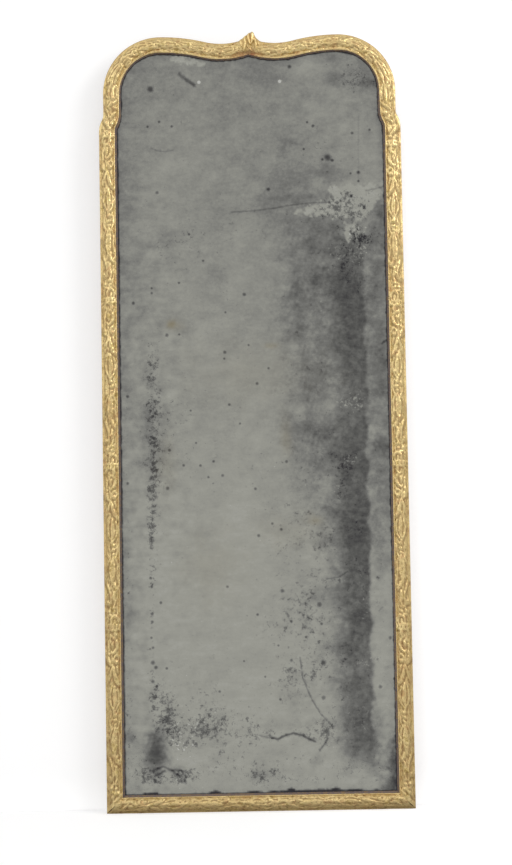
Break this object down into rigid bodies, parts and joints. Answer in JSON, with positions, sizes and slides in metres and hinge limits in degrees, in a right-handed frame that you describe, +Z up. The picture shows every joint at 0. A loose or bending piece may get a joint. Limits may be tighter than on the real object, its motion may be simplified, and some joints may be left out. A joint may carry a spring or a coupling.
{
  "type": "pier mirror",
  "caption": "Tall narrow wall mirror with a shaped crest, a carved and gilt gesso frame, an old foxed plate and ring hangers at the back.",
  "frame": {"origin": "middle of the bottom edge, in the plane of the back that lies against the wall", "axes": "+X to the right seen from the front, +Z up the mirror, +Y out of the back towards the wall, so the glass faces -Y"},
  "size_m": [0.62, 0.0398, 1.5877],
  "materials": {
    "gilt_gesso": "water-gilded carved gesso on pine, rubbed through to red clay on the high edges, bare wood at the back",
    "pine": "old bare softwood, darkened with age",
    "beech": "bare close-grained hardwood",
    "plate_glass": "old polished plate glass with a faint grey tint",
    "tin_amalgam": "tin and mercury silvering, clouded and foxed",
    "iron": "hand-made nails with brown rust",
    "brass": "dull unlacquered brass"
  },
  "bodies": {
    "mirror": {"bottom_rail": "gilt_gesso", "left_stile": "gilt_gesso", "right_stile": "gilt_gesso", "left_ear": "gilt_gesso", "right_ear": "gilt_gesso", "left_arch": "gilt_gesso", "right_arch": "gilt_gesso", "crest_leaf": "gilt_gesso", "mitre_keys": "beech", "loose_tongues": "beech", "mirror_plate": "plate_glass", "silvering": "tin_amalgam", "left_glazing_blocks": "pine", "right_glazing_blocks": "pine", "bottom_glazing_blocks": "pine", "top_glazing_blocks": "pine", "bottom_backboard": "pine", "lower_backboard": "pine", "middle_backboard": "pine", "upper_backboard": "pine", "crest_backboard": "pine", "backboard_nails": "iron", "left_hanger_strap": "brass", "right_hanger_strap": "brass", "hanger_screws": "brass"},
    "left_ring": {"left_hanger_ring": "brass"},
    "right_ring": {"right_hanger_ring": "brass"}
  },
  "joints": [
    {"name": "left_ring_swing", "type": "hinge", "parent": "mirror", "child": "left_ring", "pos_m": [-0.2975, 0.003, 1.24], "axis": [1, 0, 0], "range_deg": [0, 180]},
    {"name": "right_ring_swing", "type": "hinge", "parent": "mirror", "child": "right_ring", "pos_m": [0.2975, 0.003, 1.24], "axis": [1, 0, 0], "range_deg": [0, 180]}
  ]
}
